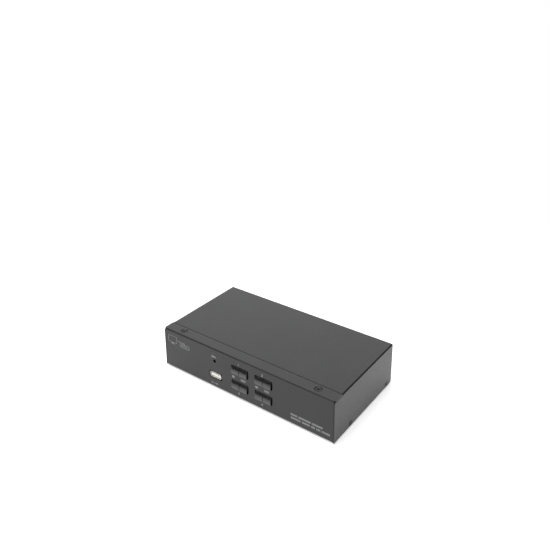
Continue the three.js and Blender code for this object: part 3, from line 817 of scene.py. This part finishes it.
# The picture at the upper left of the front panel: a screen joined to a keyboard.
PICTURE_PLACE = LEFT_EDGE + 5.0
PICTURE_CORNERS = {"radius": 0.8, "line": 0.4}
SCREEN_FRAME = (0.0, 30.8, 12.4, 7.6)
SCREEN_STAND = ((5.4, 29.5, 1.6, 1.4), (3.2, 28.9, 6.0, 0.7))
KEYBOARD_FRAME = (16.4, 29.0, 13.6, 4.4)
KEY_ROWS = (6, 5)
KEYS = [(18.0 + 1.9 * i, 30.3 + 1.3 * row, 1.2, 0.6)
        for row, count in enumerate(KEY_ROWS) for i in range(count)]
PICTURE_CABLE = ((13.4, 34.5, 9.9, 0.55), (22.8, 33.4, 0.55, 1.3))

USB_SIGN_BARS = ((-5.2, 4.1, 6.0, 0.5), (0.6, 3.6, 1.5, 1.5))
USB_SIGN_DOT_PLACE = -5.2
USB_SIGN_DOT = {"v": 4.35, "radius": 0.9}

RESET_WORD_START = -3.8
RESET_WORD = {"up": 34.0, "height": 2.3, "words": (7,), "pitch": 0.84, "stroke": 0.56}


def print_front_panel():
    keyboard = bars(PICTURE_PLACE, (*KEYS, *PICTURE_CABLE))
    printed("front_mark_screen", on_front, bars(PICTURE_PLACE, SCREEN_STAND),
            [outlined(PICTURE_PLACE, SCREEN_FRAME, **PICTURE_CORNERS)])
    printed("front_mark_keyboard", on_front, keyboard,
            [outlined(PICTURE_PLACE, KEYBOARD_FRAME, **PICTURE_CORNERS)])
    reset = centre("reset_plunger").x / MM
    printed("front_mark_reset", on_front, strokes_of_words(reset + RESET_WORD_START, **RESET_WORD))
    usb = centre("front_usb_shell").x / MM
    dot = disc(usb + USB_SIGN_DOT_PLACE, **USB_SIGN_DOT)
    printed("front_mark_usb", on_front, bars(usb, USB_SIGN_BARS) + [dot])


# The marks of a pair of buttons, across from the line between them. The pictures of a screen and
# of a keyboard stand only under the upper buttons.
DIGIT_PLACE = -1.5
DIGIT_HEIGHT = 2.5
DIGIT_UPS = {1: 38.2, 2: 38.2, 3: 5.2, 4: 5.2}
MARKED_PORTS = (1, 2)
SELECT_SCREEN_PLACE = -9.8
SELECT_SCREEN = {"v": 21.8, "width": 3.5, "height": 1.7, "radius": 0.3}
SELECT_FOOT = (-9.0, 21.0, 1.9, 0.4)
SELECT_KEYBOARD = {"frame": (1.2, 21.2, 5.6, 2.3), "radius": 0.4, "line": 0.5}
SPACE_BAR = (2.4, 22.0, 3.2, 0.7)


def print_port_marks():
    for port in PORTS:
        left, right = [centre(f"button_cap_{port}_{side}").x / MM for side in SIDES]
        middle = (left + right) / 2
        print_digit(
            f"front_digit_{port}", str(port), on_front, middle + DIGIT_PLACE, DIGIT_UPS[port], DIGIT_HEIGHT)
        if port in MARKED_PORTS:
            screen = rounded(middle + SELECT_SCREEN_PLACE, **SELECT_SCREEN)
            printed(f"front_mark_select_{port}", on_front, [screen, *bars(middle, [SELECT_FOOT])])
            printed(f"front_mark_keyboard_{port}", on_front, bars(middle, [SPACE_BAR]),
                    [outlined(middle, **SELECT_KEYBOARD)])


# The two lines of small print at the lower right of the front panel.
UPPER_LINE_START = LEFT_EDGE + 162.7
UPPER_LINE = {"up": 9.4, "height": 2.1, "words": (8, 14, 12), "pitch": 0.965, "stroke": 0.62}
LOWER_LINE_START = LEFT_EDGE + 163.0
LOWER_LINE = {"up": 5.7, "height": 2.1, "words": (10, 8, 4, 4, 8), "pitch": 1.105, "stroke": 0.70}


def print_small_lines():
    printed("front_small_line_upper", on_front, strokes_of_words(UPPER_LINE_START, **UPPER_LINE))
    printed("front_small_line_lower", on_front, strokes_of_words(LOWER_LINE_START, **LOWER_LINE))


# The marks on the rear panel, across from the middle of their socket.
REAR_DIGIT_UP = 37.6
REAR_DIGIT_HEIGHT = 3.0
PORT_SCREEN = {"frame": (-1.8, 17.4, 3.6, 2.3), "radius": 0.3, "line": 0.4}
PORT_SCREEN_FOOT = (-0.9, 16.7, 1.8, 0.45)
CONSOLE_SCREEN = {"frame": (-2.4, 17.4, 4.8, 3.0), "radius": 0.4, "line": 0.45}
CONSOLE_SCREEN_FOOT = (-1.2, 16.6, 2.4, 0.5)
DIRECT_CURRENT_SIGN = ((-2.4, 23.4, 4.8, 0.5), *[(-2.4 + 1.8 * i, 22.4, 1.2, 0.5) for i in range(3)])


def across_rear(node):
    """Where the middle of a node stands across the rear panel, as seen from behind."""
    return -centre(node).x / MM


def print_rear_panel():
    for port in PORTS:
        column = across_rear(f"computer_hdmi_shell_{port}")
        print_digit(f"rear_digit_{port}", str(port), on_rear, column, REAR_DIGIT_UP, REAR_DIGIT_HEIGHT)
        printed(f"rear_mark_screen_{port}", on_rear, bars(column, [PORT_SCREEN_FOOT]),
                [outlined(column, **PORT_SCREEN)])
    console = across_rear("console_hdmi_shell")
    printed("rear_mark_console", on_rear, bars(console, [CONSOLE_SCREEN_FOOT]),
            [outlined(console, **CONSOLE_SCREEN)])
    printed("rear_mark_power", on_rear, bars(across_rear("power_jack"), DIRECT_CURRENT_SIGN))


dress_cad_nodes()

make_camera()
make_world()
make_floor(studio_floor())
bpy.context.scene.view_settings.view_transform = "Standard"

for port in PORTS:
    for side in SIDES:
        make_cap(port, side)
make_front_usb()
make_hdmi_contacts()
make_usb_b_inserts()
make_usb_a_tongues()
make_jack_sleeves()
make_power_contacts()

print_front_panel()
print_port_marks()
print_small_lines()
print_rear_panel()
